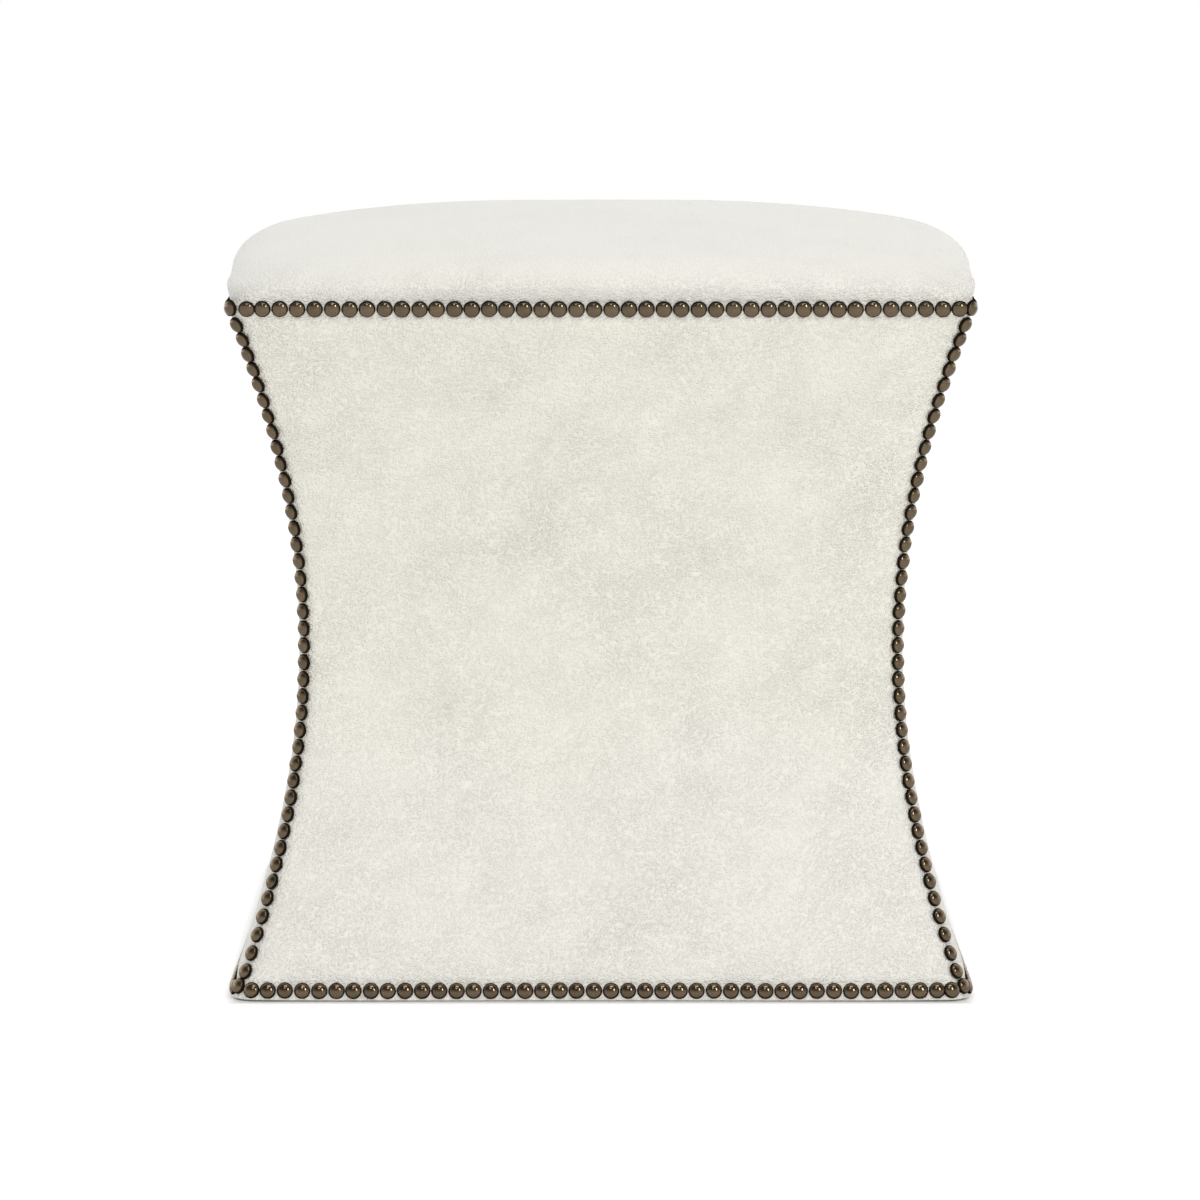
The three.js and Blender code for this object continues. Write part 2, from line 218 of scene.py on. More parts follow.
def side_outline(half, radius, bulge, corner_steps, flat_steps, clear=0.0):
    """The front side seen from above, corner diagonal to corner diagonal."""
    radius = max(radius, SMALLEST_RADIUS)
    flat = half - clear - radius
    points = []

    def corner(side, share):
        a = share * math.pi / 4
        across = flat + radius * math.sin(a)
        ahead = flat + clear + radius * math.cos(a)
        points.append((side * across, -ahead))

    for i in range(corner_steps, 0, -1):
        corner(-1, i / corner_steps)
    for share in crowded(flat_steps, FLAT_CROWDING):
        points.append((share * flat, -half - bulge * cosine_swell(share)))
    for i in range(1, corner_steps + 1):
        corner(1, i / corner_steps)
    return points


def turned(x, y, quarter):
    """A point of the front side, on the side that many quarter turns further."""
    for _ in range(quarter):
        x, y = -y, x
    return x, y


def loop_outline(half, radius, bulge, corner_steps, flat_steps):
    side = side_outline(half, radius, bulge, corner_steps, flat_steps)[:-1]
    return [turned(x, y, q) for q in range(4) for x, y in side]


def random_waves(shortest, longest, count=9):
    """Directions, wave numbers and phases for a smooth repeatable ripple."""
    return [
        (
            Vector((rng.gauss(0, 1), rng.gauss(0, 1), rng.gauss(0, 1))).normalized()
            * (2 * math.pi / rng.uniform(shortest, longest)),
            rng.uniform(0, FULL_TURN),
        )
        for _ in range(count)
    ]


WAVES = random_waves(55, 150)
FINE_WAVES = random_waves(14, 30)


def ripple(p, waves):
    return sum(math.sin(k.dot(p) + phase) for k, phase in waves) / len(waves)


def unevenness(p, share):
    """The slight unevenness of stretched leather, away from its nails."""
    return RIPPLE * ripple(p, WAVES) * share + FINE_RIPPLE * ripple(p, FINE_WAVES) * share


# ---------------------------------------------------------------- meshes
def new_mesh(name, verts, faces):
    mesh = bpy.data.meshes.new(name)
    mesh.from_pydata(verts, [], faces)
    mesh.update()
    return mesh


def add_object(name, mesh):
    """Puts a mesh into the scene, shaded smooth."""
    mesh.polygons.foreach_set("use_smooth", [True] * len(mesh.polygons))
    obj = bpy.data.objects.new(name, mesh)
    bpy.context.scene.collection.objects.link(obj)
    return obj


def mesh_object(name, verts, faces):
    """An object with its double points joined and its faces all turned one way."""
    mesh = new_mesh(name, verts, faces)
    bm = bmesh.new()
    bm.from_mesh(mesh)
    bmesh.ops.remove_doubles(bm, verts=bm.verts, dist=1e-6)
    bmesh.ops.recalc_face_normals(bm, faces=bm.faces)
    bm.to_mesh(mesh)
    bm.free()
    return add_object(name, mesh)


def side_verts(rows, quarter):
    """All points of the rows in metres, on their side of the stool."""
    verts = []
    for row in rows:
        for p in row:
            x, y = turned(p.x, p.y, quarter)
            verts.append((x / 1000, y / 1000, p.z / 1000))
    return verts


def ring_faces(rings, count):
    """Faces between closed rings that each have count points."""
    faces = []
    for r in range(rings - 1):
        for c in range(count):
            d = (c + 1) % count
            a, b = r * count, (r + 1) * count
            faces.append((a + c, a + d, b + d, b + c))
    return faces


def thicken(obj):
    """The leather's thickness, inwards from its outer face."""
    solid = obj.modifiers.new("thickness", "SOLIDIFY")
    solid.thickness = LEATHER / 1000
    solid.offset = -1


# ---------------------------------------------------------------- materials
class Tree:
    """Small helper that builds the node tree of a material or of the world.

    A value in it is a number, a colour or a (node, output) pair.
    """

    def __init__(self, owner, output="ShaderNodeOutputMaterial"):
        owner.use_nodes = True
        self.tree = owner.node_tree
        self.tree.nodes.clear()
        self.output = self.add(output)
        self.coords = self.add("ShaderNodeTexCoord")

    def add(self, kind, **settings):
        node = self.tree.nodes.new(kind)
        for key, value in settings.items():
            setattr(node, key, value)
        return node

    def link(self, a, out, b, into):
        self.tree.links.new(a.outputs[out], b.inputs[into])

    def feed(self, value, socket):
        """Links the socket to a pair, or sets it to a number or a colour."""
        if isinstance(value, tuple) and len(value) == 2:
            self.tree.links.new(value[0].outputs[value[1]], socket)
        elif isinstance(value, tuple):
            socket.default_value = (*value, 1)
        else:
            socket.default_value = value

    def split(self, coordinates):
        """The separate X, Y and Z of Object or Generated coordinates."""
        node = self.add("ShaderNodeSeparateXYZ")
        self.link(self.coords, coordinates, node, "Vector")
        return node

    def math(self, operation, *values):
        node = self.add("ShaderNodeMath", operation=operation)
        for value, socket in zip(values, node.inputs):
            self.feed(value, socket)
        return (node, "Value")

    def range(self, source, a, b, c, d, kind="LINEAR"):
        """Maps a to b onto c to d."""
        node = self.add("ShaderNodeMapRange", interpolation_type=kind)
        self.feed(source, node.inputs["Value"])
        for key, value in zip(("From Min", "From Max", "To Min", "To Max"), (a, b, c, d)):
            node.inputs[key].default_value = value
        return (node, "Result")

    def light(self, kind, color, strength):
        """An Emission or Background shader."""
        node = self.add(kind)
        self.feed(color, node.inputs["Color"])
        self.feed(strength, node.inputs["Strength"])
        return (node, 0)

    def choose(self, factor, a, b):
        """The shader a where the factor is 0, and b where it is 1."""
        node = self.add("ShaderNodeMixShader")
        for value, socket in zip((factor, a, b), node.inputs):
            self.feed(value, socket)
        return (node, 0)

    def finish(self, shader):
        self.feed(shader, self.output.inputs["Surface"])


class Surface(Tree):
    """A material of one principled shader in object coordinates."""

    def __init__(self, name):
        self.material = bpy.data.materials.new(name)
        super().__init__(self.material)
        self.surface = self.add("ShaderNodeBsdfPrincipled")
        self.finish((self.surface, "BSDF"))

    def mapping(self, source, key, value):
        """The coordinates with their Rotation or Scale changed."""
        node = self.add("ShaderNodeMapping")
        node.inputs[key].default_value = value
        self.feed(source, node.inputs["Vector"])
        return (node, "Vector")

    def scaled(self, scale):
        return self.mapping((self.coords, "Object"), "Scale", tuple(scale))

    def noise(self, scale, detail, rough, vector=None, distortion=0.0):
        node = self.add("ShaderNodeTexNoise")
        values = (scale, detail, rough, distortion)
        for key, value in zip(("Scale", "Detail", "Roughness", "Distortion"), values):
            node.inputs[key].default_value = value
        self.feed(vector or (self.coords, "Object"), node.inputs["Vector"])
        return (node, "Fac")

    def mix(self, factor, a, b, blend="MIX"):
        node = self.add("ShaderNodeMix", data_type="RGBA", blend_type=blend)
        for key, value in (("Factor", factor), ("A", a), ("B", b)):
            self.feed(value, next(s for s in node.inputs if s.name == key and s.enabled))
        return (node, next(i for i, s in enumerate(node.outputs) if s.enabled))

    def bump(self, height, strength, distance):
        """Relief of the surface, its depth in metres."""
        node = self.add("ShaderNodeBump")
        node.inputs["Strength"].default_value = strength
        node.inputs["Distance"].default_value = distance
        self.feed(height, node.inputs["Height"])
        self.link(node, "Normal", self.surface, "Normal")

    def into(self, source, key):
        self.feed(source, self.surface.inputs[key])

    def set(self, **values):
        for key, value in values.items():
            self.surface.inputs[key.replace("_", " ")].default_value = value


def tinted(color, tint):
    return tuple(c * t for c, t in zip(color, tint))


LEATHER_COLOR = (0.850, 0.826, 0.748)
# The seat's leather is tinted cooler: painted cool light and sheen falling on the seat from
# above.
SEAT_COOL_LIGHT_TINT = (0.990, 0.994, 1.03)
COOL_TINT = (1.003, 1.004, 1.008)
WARM_TINT = (0.997, 0.996, 0.990)
# Painted light: the leather is made paler near the floor, standing in for the floor's bounce.
PAINTED_BOUNCE_TINT = (1.04, 1.045, 1.08)
# Pebbles of the grain per metre, and the turn of their long direction.
PEBBLES = (500, 700, 780)
PEBBLE_TURN = math.radians(30)
PEBBLE_BEND = 0.013
PEBBLE_DEPTH = 0.00075
# Heights between which the grain fades on the crown of the seat.
CROWN_FROM, CROWN_TO = 0.466, 0.484
# Heights between which the paler tone near the floor, painted light from the floor's bounce,
# fades.
PAINTED_BOUNCE_FROM, PAINTED_BOUNCE_TO = 0.02, 0.30

BRONZE_DARK = (0.148, 0.108, 0.069)
BRONZE_BRIGHT = (0.222, 0.170, 0.112)
# Near black round the rim: patina together with painted contact shadow.
PATINA_AND_RIM_SHADE = (0.014, 0.010, 0.006)
# Crown shares between which the patina, darkened with painted contact shadow round the rim,
# gives way to worn metal.
WORN_FROM, WORN_TO = 0.41, 0.64
FLECK_DEPTH = 0.00012

# Wood grain per metre, across and along the wood, and how much finer its fibre is.
GRAIN_ACROSS, GRAIN_ALONG, FIBRE_FINER = 42.0, 2.2, 9


def leather_material(name, tint=(1.0, 1.0, 1.0)):
    m = Surface(name)
    base = tinted(LEATHER_COLOR, tint)
    # Fine pebbles, drawn out along a slowly turning direction.
    flow = m.noise(24, 1, 0.5)[0]
    bend = m.add("ShaderNodeVectorMath", operation="MULTIPLY_ADD")
    m.link(flow, "Color", bend, 0)
    bend.inputs[1].default_value = (PEBBLE_BEND,) * 3
    m.link(m.coords, "Object", bend, 2)
    along = m.mapping((bend, "Vector"), "Rotation", (0, PEBBLE_TURN, 0))
    pebbles = m.add("ShaderNodeTexVoronoi", feature="F1")
    pebbles.inputs["Scale"].default_value = 1.0
    pebbles.inputs["Randomness"].default_value = 0.9
    m.feed(m.mapping(along, "Scale", PEBBLES), pebbles.inputs["Vector"])
    distance = (pebbles, "Distance")
    # The grain is a little deeper in some places than in others.
    patch = m.range(m.noise(13, 2, 0.5), 0.33, 0.70, 0.85, 1.15)
    relief = m.math("MULTIPLY", m.range(distance, 0.1, 0.7, 0.5, -0.5), patch)
    # On the crown of the seat the leather is pulled smoother.
    height = (m.split("Object"), "Z")
    crown = m.range(height, CROWN_FROM, CROWN_TO, 1.0, 0.5, "SMOOTHSTEP")
    m.bump(m.math("MULTIPLY", relief, crown), 1.0, PEBBLE_DEPTH)
    # Colour: a slight warm and cool drift, and painted shade in the creases of the grain,
    # slightly lighter on its pebbles.
    drift = m.range(m.noise(6, 3, 0.5), 0.35, 0.65, 0.0, 1.0)
    color = m.mix(drift, tinted(base, WARM_TINT), tinted(base, COOL_TINT))
    # Painted shade: the grain's creases are darker and its pebbles a little lighter.
    color = m.mix(1.0, color, m.range(distance, 0.1, 0.7, 1.02, 0.97), "MULTIPLY")
    # The leather is slightly paler towards the floor: painted light from the floor's bounce.
    low = m.range(height, PAINTED_BOUNCE_FROM, PAINTED_BOUNCE_TO, 1.0, 0.0, "SMOOTHSTEP")
    m.into(m.mix(low, color, PAINTED_BOUNCE_TINT, "MULTIPLY"), "Base Color")
    m.into(m.range(m.noise(950, 2, 0.6), 0.3, 0.7, 0.46, 0.6), "Roughness")
    m.set(IOR=1.45, Specular_IOR_Level=0.42)
    return m.material


def head_material():
    """Bronze heads with worn crowns, patina and painted contact shadow round them, and a tone
    of their own.
    """
    m = Surface("aged_bronze_heads")
    crown = (m.add("ShaderNodeAttribute", attribute_name="crown"), "Fac")
    tone = (m.add("ShaderNodeAttribute", attribute_name="tone"), "Fac")
    mottle = m.noise(900, 3, 0.6)
    bright = m.mix(mottle, BRONZE_DARK, BRONZE_BRIGHT)
    worn = m.range(crown, WORN_FROM, WORN_TO, 0.0, 1.0, "SMOOTHSTEP")
    # The dark rim is patina with painted contact shadow where the head meets the leather.
    color = m.mix(worn, PATINA_AND_RIM_SHADE, bright)
    color = m.mix(1.0, color, m.range(tone, 0, 1, 0.9, 1.1), "MULTIPLY")
    m.into(color, "Base Color")
    polish = m.range(mottle, 0.3, 0.7, 0.10, 0.16)
    rim_patina_and_shade = m.math("SUBTRACT", 1.0, worn)
    m.into(m.math("MULTIPLY_ADD", rim_patina_and_shade, 0.45, polish), "Roughness")
    m.into(worn, "Metallic")
    m.bump(m.noise(2600, 2, 0.6), 0.15, FLECK_DEPTH)
    m.set(Specular_IOR_Level=0.0)
    return m.material


def wood_material(name, light, dark, axis):
    """Wood with its grain along the given axis."""
    m = Surface(name)
    stretch = [GRAIN_ACROSS] * 3
    stretch[axis] = GRAIN_ALONG
    grain = m.noise(1, 5, 0.6, m.scaled(stretch), 0.6)
    fibre = m.noise(1, 3, 0.7, m.scaled(s * FIBRE_FINER for s in stretch))
    color = m.mix(m.range(grain, 0.3, 0.7, 0, 1), light, dark)
    color = m.mix(0.35, color, m.range(fibre, 0.3, 0.7, 0.7, 1.1), "MULTIPLY")
    m.into(color, "Base Color")
    m.into(m.range(fibre, 0.3, 0.7, 0.6, 0.8), "Roughness")
    m.bump(fibre, 0.3, 0.0003)
    return m.material


def fibre_material(name, light, dark, scale, rough, stretch=(1, 1, 1)):
    m = Surface(name)
    coarse = m.noise(1, 4, 0.6, m.scaled(scale * s for s in stretch))
    fine = m.noise(1, 3, 0.7, m.scaled(scale * 5 * s for s in stretch))
    color = m.mix(m.range(coarse, 0.3, 0.7, 0, 1), light, dark)
    m.into(color, "Base Color")
    roughest = min(1.0, rough + 0.08)
    m.into(m.range(fine, 0.3, 0.7, rough - 0.08, roughest), "Roughness")
    m.bump(fine, 0.5, 0.0004)
    return m.material


LEATHER_SIDE = leather_material("leather_sides")
# The seat's copy of the leather carries the painted cool light of its top.
LEATHER_SEAT = leather_material("leather_seat", SEAT_COOL_LIGHT_TINT)
BRONZE = head_material()
WOOD = [
    wood_material(f"frame_wood_{a}", (0.60, 0.43, 0.24), (0.47, 0.31, 0.16), i)
    for i, a in enumerate("xyz")
]
PLY = wood_material("deck_ply", (0.68, 0.52, 0.32), (0.58, 0.41, 0.23), 0)
LINER = fibre_material(
    "liner_board_fibre", (0.46, 0.34, 0.21), (0.34, 0.25, 0.15), 60, 0.9, (1, 1, 0.3)
)
WADDING = fibre_material(
    "wadding_fibre", (0.88, 0.87, 0.84), (0.78, 0.77, 0.73), 90, 0.95
)
FOAM = fibre_material("foam_cells", (0.82, 0.75, 0.50), (0.72, 0.64, 0.40), 400, 0.95)
DUST = fibre_material(
    "dust_cloth_fibre", (0.030, 0.030, 0.033), (0.014, 0.014, 0.016), 300, 0.92, (1, 3, 1)
)
GLIDE = fibre_material(
    "glide_nylon", (0.040, 0.035, 0.030), (0.026, 0.022, 0.018), 500, 0.5
)


# ---------------------------------------------------------------- side covers
CORNER_STEPS = 10
FLAT_STEPS = 170
COVER_ROWS = 170
WADDING_ROWS = 60


def hem_sag(x):
    """The hem hangs a little lower between the corners."""
    return HEM_SAG * (1 - min(abs(x) / EDGE_HALF, 1) ** 4)


def panel_outline(half, radius, bulge):
    return side_outline(half, radius, bulge, CORNER_STEPS, FLAT_STEPS, GAP / 2)


def side_grid(quarter, heights, inset=0.0):
    """Points over the side at the given heights, the leather's set and tucks included."""
    grid = []
    for z in heights:
        outline = panel_outline(half_at(z), radius_at(z), row_bulge(z))
        slope = slope_at(z)
        length = [0.0]
        for a, b in zip(outline, outline[1:]):
            length.append(length[-1] + math.dist(a, b))
        row = []
        for i, (x, y) in enumerate(outline):
            a, b = outline[max(i - 1, 0)], outline[min(i + 1, len(outline) - 1)]
            normal = Vector((b[1] - a[1], -(b[0] - a[0]), 0)).normalized()
            normal = (normal + Vector((0, 0, -slope))).normalized()
            edge = min(length[i], length[-1] - length[i])
            where = Vector((*turned(x, y, quarter), z))
            near_row = min(UPPER_ROW + UPPER_RAISE - z, abs(z - LOWER_ROW - LOWER_RAISE))
            near = min(near_row, edge)
            push = unevenness(where, 1 - nearness(near, RIPPLE_START))
            push += pillow_at(near_row, edge) - TUCK * nearness(near, TUCK_REACH)
            sag = 0.0
            if z < LOWER_ROW:
                below = (LOWER_ROW - z) / (LOWER_ROW - COVER_FOOT)
                push *= 1 - below
                sag = hem_sag(x) * below
            row.append(Vector((x, y, z - sag)) + normal * (push - inset))
        grid.append(row)
    return grid


def side_cover(quarter):
    """The leather of one side, with its hem turned under the base."""
    top = UPPER_ROW - GAP / 2
    heights = crowded_heights(COVER_FOOT, top, COVER_ROWS, COVER_CROWDING)
    grid = side_grid(quarter, heights)
    # The hem turns under the base on a small round edge.
    hem = []
    for inset, drop in HEM_RINGS:
        half = half_at(COVER_FOOT) - inset
        radius = radius_at(COVER_FOOT) - inset
        outline = panel_outline(half, radius, row_bulge(COVER_FOOT))
        hem.append([Vector((x, y, COVER_FOOT + drop - hem_sag(x))) for x, y in outline])
    grid = hem[::-1] + grid
    columns = len(grid[0])
    faces = []
    for r in range(len(grid) - 1):
        for c in range(columns - 1):
            a = r * columns + c
            faces.append((a, a + 1, a + columns + 1, a + columns))
    name = f"leather_panel_{SIDES[quarter]}"
    obj = mesh_object(name, side_verts(grid, quarter), faces)
    # Faces look outwards, so that the thickness grows inwards.
    mesh = obj.data
    probe = mesh.polygons[len(mesh.polygons) // 2]
    outward = Vector((probe.center.x, probe.center.y, 0))
    if probe.normal.dot(outward) < 0:
        mesh.flip_normals()
    thicken(obj)
    obj.data.materials.append(LEATHER_SIDE)
    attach(obj, "root")
    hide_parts(f"side_cover_{SIDES[quarter]}")


def side_wadding(quarter):
    """The padding sheet that lies between a liner and its leather."""
    foot = COVER_FOOT + LEATHER + GAP + WADDING_CLEAR
    heights = crowded_heights(foot, UPPER_ROW - GAP, WADDING_ROWS, WADDING_CROWDING)
    outer = side_grid(quarter, heights, LEATHER + WADDING_CLEAR)
    inset = LEATHER + GAP + WADDING_DEPTH
    loops = []
    for z, front in zip(heights, outer):
        outline = panel_outline(half_at(z) - inset, radius_at(z) - inset, 0.0)
        loops.append(front + [Vector((x, y, z)) for x, y in reversed(outline)])
    columns = len(outer[0])
    count = 2 * columns
    faces = ring_faces(len(loops), count)
    last = (len(loops) - 1) * count
    for c in range(columns - 1):
        faces.append((c + 1, c, count - 1 - c, count - 2 - c))
        faces.append((last + c, last + c + 1, last + count - 2 - c, last + count - 1 - c))
    name = f"wadding_sheet_{SIDES[quarter]}"
    obj = mesh_object(name, side_verts(loops, quarter), faces)
    obj.data.materials.append(WADDING)
    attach(obj, "root")
    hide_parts(f"side_wadding_{SIDES[quarter]}")


# ---------------------------------------------------------------- seat cover
SEAT_CORNER_STEPS = 14
SEAT_FLAT_STEPS = 84
LOWER_RINGS = 18
SHOULDER_RINGS = 24
CROWN_RINGS = 26
# Up to this ring, half way round the shoulder, the leather is pushed sideways.
SIDEWAYS_RINGS = 32


def seat_outline(half, radius, bulge):
    return loop_outline(half, radius, bulge, SEAT_CORNER_STEPS, SEAT_FLAT_STEPS)


def lifted(points, rise, half, foot):
    """The ring at its height over the foot, drawn down towards its corners."""
    fade = smooth(clamped(rise / SEAT_DROP_REACH))
    out = []
    for x, y in points:
        reach = abs(x * y) / half**2
        drop = SEAT_DROP * fade * reach**SEAT_DROP_POWER
        out.append(Vector((x, y, foot + rise * (1 - drop))))
    return out


def corner_ease(rise):
    """How far the seat's corner has opened, from the nail row to the top of the shoulder."""
    return eased(clamped(rise / (SEAT_WIDEST + SEAT_SHOULDER)), CORNER_SOFTNESS)


def seat_lower(rise, inset=0.0):
    """A ring between the nail row and the seat's widest line."""
    share = clamped((rise - SEAT_HELD) / (SEAT_WIDEST - SEAT_HELD))
    share = eased(share, SIDE_SOFTNESS)
    half = lerp(ROW_HALF, SEAT_HALF, share) - inset
    radius = lerp(RADIUS_TOP, SEAT_RADIUS, corner_ease(rise)) - inset
    ring = seat_outline(half, radius, lerp(ROW_BULGE_TOP, SEAT_BULGE, share))
    return lifted(ring, rise, SEAT_HALF - inset, UPPER_ROW)


def seat_upper(half, turn, inset=0.0):
    """A ring on the shoulder, by its turn towards level, or on the crown."""
    width = half / SEAT_HALF
    edge = 1 - SEAT_RADIUS / SEAT_HALF
    shoulder = SEAT_SHOULDER * math.sin(turn)
    spread = corner_ease(SEAT_WIDEST + shoulder)
    radius = lerp(RADIUS_TOP, half * (1 - edge * width**SEAT_EASE), spread) - inset
    dome = shoulder + SEAT_CROWN * (1 - width**2)
    ring = seat_outline(half - inset, radius, SEAT_BULGE * width)
    foot = UPPER_ROW - inset * math.sin(turn)
    return lifted(ring, SEAT_WIDEST + dome, SEAT_HALF - inset, foot)


def seat_rings(foot_rise, inset=0.0):
    """The seat's rings, from just over the nail row to the middle of the crown."""
    rings = [
        seat_lower(lerp(foot_rise, SEAT_WIDEST, i / LOWER_RINGS), inset)
        for i in range(LOWER_RINGS + 1)
    ]
    for i in range(1, SHOULDER_RINGS + 1):
        turn = i / SHOULDER_RINGS * math.pi / 2
        half = SEAT_HALF - SEAT_SHOULDER_DEPTH * (1 - math.cos(turn))
        rings.append(seat_upper(half, turn, inset))
    dome = SEAT_HALF - SEAT_SHOULDER_DEPTH
    for i in range(1, CROWN_RINGS):
        rings.append(seat_upper(dome * (1 - i / CROWN_RINGS), math.pi / 2, inset))
    return rings


def ring_surface(rings):
    """Points and faces over the rings, closed by a point in the middle of the last."""
    count = len(rings[0])
    verts = [p for ring in rings for p in ring]
    faces = ring_faces(len(rings), count)
    centre = sum(rings[-1], Vector()) / count
    verts.append(Vector((0, 0, centre.z + SEAT_TIP)))
    last = (len(rings) - 1) * count
    faces += [(last + c, last + (c + 1) % count, len(verts) - 1) for c in range(count)]
    return verts, faces


def seat_cover():
    shaped = []
    for k, ring in enumerate(seat_rings(GAP / 2)):
        row = []
        for i, p in enumerate(ring):
            a, b = ring[i - 1], ring[(i + 1) % len(ring)]
            normal = Vector((b.y - a.y, -(b.x - a.x), 0)).normalized()
            above = max(p.z - UPPER_ROW, 0)
            push = unevenness(p, 1 - nearness(above, SEAT_RIPPLE_START))
            if k < SIDEWAYS_RINGS:
                push -= SEAT_TUCK * nearness(above, TUCK_REACH)
                row.append(p + normal * push)
            else:
                row.append(p + Vector((0, 0, push)))
        shaped.append(row)
    verts, faces = ring_surface(shaped)
    obj = mesh_object("leather_seat_cover", [tuple(v / 1000) for v in verts], faces)
    mesh = obj.data
    top = max(mesh.polygons, key=lambda f: f.center.z)
    if top.normal.z < 0:
        mesh.flip_normals()
    thicken(obj)
    obj.data.materials.append(LEATHER_SEAT)
    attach(obj, "root")
    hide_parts("seat_cover")


# ---------------------------------------------------------------- nail heads
def head_template(segments=20, rings=8):
    """A closed domed head: points with z outwards, faces, and crown shares."""
    verts, faces, crown = [(0, 0, HEAD_BACK)], [], [0.0]
    levels = [(share, height, 0.0) for share, height in HEAD_BACK_RINGS]
    for i in range(rings):
        a = i / rings * math.pi / 2
        levels.append((math.cos(a), HEAD_HEIGHT * math.sin(a), math.sin(a)))
    for share, height, rise in levels:
        for s in range(segments):
            t = 2 * math.pi * s / segments
            r = HEAD_RADIUS * share
            verts.append((r * math.cos(t), r * math.sin(t), height))
            crown.append(rise)
    verts.append((0, 0, HEAD_HEIGHT))
    crown.append(1.0)
    for s in range(segments):
        faces.append((0, 1 + (s + 1) % segments, 1 + s))
    for level in range(len(levels) - 1):
        for s in range(segments):
            a = 1 + level * segments + s
            b = 1 + level * segments + (s + 1) % segments
            faces.append((a, b, b + segments, a + segments))
    base = 1 + (len(levels) - 1) * segments
    for s in range(segments):
        faces.append((base + s, base + (s + 1) % segments, len(verts) - 1))
    return verts, faces, crown


HEAD_VERTS, HEAD_FACES, HEAD_CROWN = head_template()


def heads_object(name, places, replaced):
    """One row of heads, each with a slight tilt, size and tone of its own."""
    verts, faces, crown, tone = [], [], [], []
    for where, outward in places:
        tilt = Euler(
            (rng.gauss(0, HEAD_TILT), rng.gauss(0, HEAD_TILT), rng.uniform(0, FULL_TURN))
        ).to_matrix()
        turn = outward.normalized().to_track_quat("Z", "Y").to_matrix() @ tilt
        size = rng.uniform(*HEAD_SIZES)
        shade = rng.random()
        start = len(verts)
        for v in HEAD_VERTS:
            p = where + turn @ (Vector(v) * size)
            verts.append(tuple(p / 1000))
        faces += [tuple(start + i for i in f) for f in HEAD_FACES]
        crown += HEAD_CROWN
        tone += [shade] * len(HEAD_VERTS)
    mesh = new_mesh(name, verts, faces)
    for key, values in (("crown", crown), ("tone", tone)):
        layer = mesh.attributes.new(key, "FLOAT", "POINT")
        layer.data.foreach_set("value", values)
    obj = add_object(name, mesh)
    obj.data.materials.append(BRONZE)
    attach(obj, "root")
    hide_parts(replaced)


def polyline(points):
    """The length of a line of points, and a function for the point at a distance."""
    lengths = [0.0]
    for a, b in zip(points, points[1:]):
        lengths.append(lengths[-1] + (b - a).length)

    def at(distance):
        distance = min(max(distance, 0), lengths[-1])
        lo = 0
        while lo < len(lengths) - 2 and lengths[lo + 1] < distance:
            lo += 1
        span = lengths[lo + 1] - lengths[lo]
        return points[lo].lerp(points[lo + 1], (distance - lengths[lo]) / max(span, 1e-9))

    return lengths[-1], at


def direction(at, distance):
    return (at(distance + 1) - at(distance - 1)).normalized()


def placed(p, outward, quarter):
    """The place and the outward direction of a head, on their side of the stool."""
    where = Vector((*turned(p.x, p.y, quarter), p.z))
    return where, Vector((*turned(outward.x, outward.y, quarter), outward.z))


ROW_SPACES = 43
# Corner and flat steps of a row's line, and how unevenly its heads are set.
ROW_STEPS = (24, 60)
ROW_JITTER = 0.08
# The rows round the edges: the spaces at both ends, how far the heads lean
# with the side's slope, and the turn and the shift of the corner head.
UPPER_NAILS = {
    "z": UPPER_ROW,
    "rise": UPPER_RAISE,
    "proud": UPPER_PROUD,
    "lift": 0.0,
    "lean": 0.5,
    "first": (10.1, 10.2),
    "last": (10.6, 7.4),
    "corner_turn": 0.1,
    "corner": (0, 0, 0.6),
}
LOWER_NAILS = {
    "z": LOWER_ROW,
    "rise": LOWER_RAISE,
    "proud": LOWER_PROUD,
    "lift": LOWER_LIFT,
    "lean": 1.0,
    "first": (8.9, 10.8),
    "last": (9.9, 8.0),
    "corner_turn": 0.11,
    "corner": (0.6, 0.6, 1.3),
}


def side_row_places(quarter, z, rise, proud, lift, lean, first, last, corner_turn, corner):
    """Heads of one row, from the left corner head to the last before the next corner."""
    half, radius = half_at(z), radius_at(z)
    height = z + rise
    outline = side_outline(half, radius, row_bulge(z), *ROW_STEPS)
    total, at = polyline([Vector((x, y, height + lift * (x / half) ** 4)) for x, y in outline])
    between = ROW_SPACES - len(first) - len(last)
    pitch = (total - sum(first) - sum(last)) / between
    gaps = [*first, *[pitch] * between, *last]
    places = []
    for i in range(ROW_SPACES):
        if i == 0:
            # Each corner head is turned a little towards the left or right side.
            angle = math.pi / 4 + corner_turn * (1 if quarter % 2 == 0 else -1)
            outward = Vector((-math.sin(angle), -math.cos(angle), 0))
            middle = Vector((radius - half, radius - half, height + lift))
            p = middle + outward * (radius + CORNER_PROUD)
            p += Vector(corner)
        else:
            distance = sum(gaps[:i])
            along = direction(at, distance)
            outward = Vector((along.y, -along.x, 0)).normalized()
            p = at(distance) + outward * proud
        outward = (outward + Vector((0, 0, -slope_at(z) * lean))).normalized()
        up = Vector((0, 0, rng.gauss(0, ROW_JITTER)))
        p += up + outward.cross(Vector((0, 0, 1))) * rng.gauss(0, ROW_JITTER)
        places.append(placed(p, outward, quarter))
    return places


CORNER_HEADS = 40
CORNER_LINE_STEPS = 120
CORNER_FIRST_SPACES = (10.3, 10.9, 11.0, 10.9)
CORNER_SPACE = 11.3
# The last spaces grow wider by this much, from about this head, over this many.
CORNER_WIDER, WIDER_HEAD, WIDER_OVER = 1.45, 35.6, 0.75
CORNER_JITTER_ALONG = 0.1
CORNER_JITTER_ACROSS = 0.12


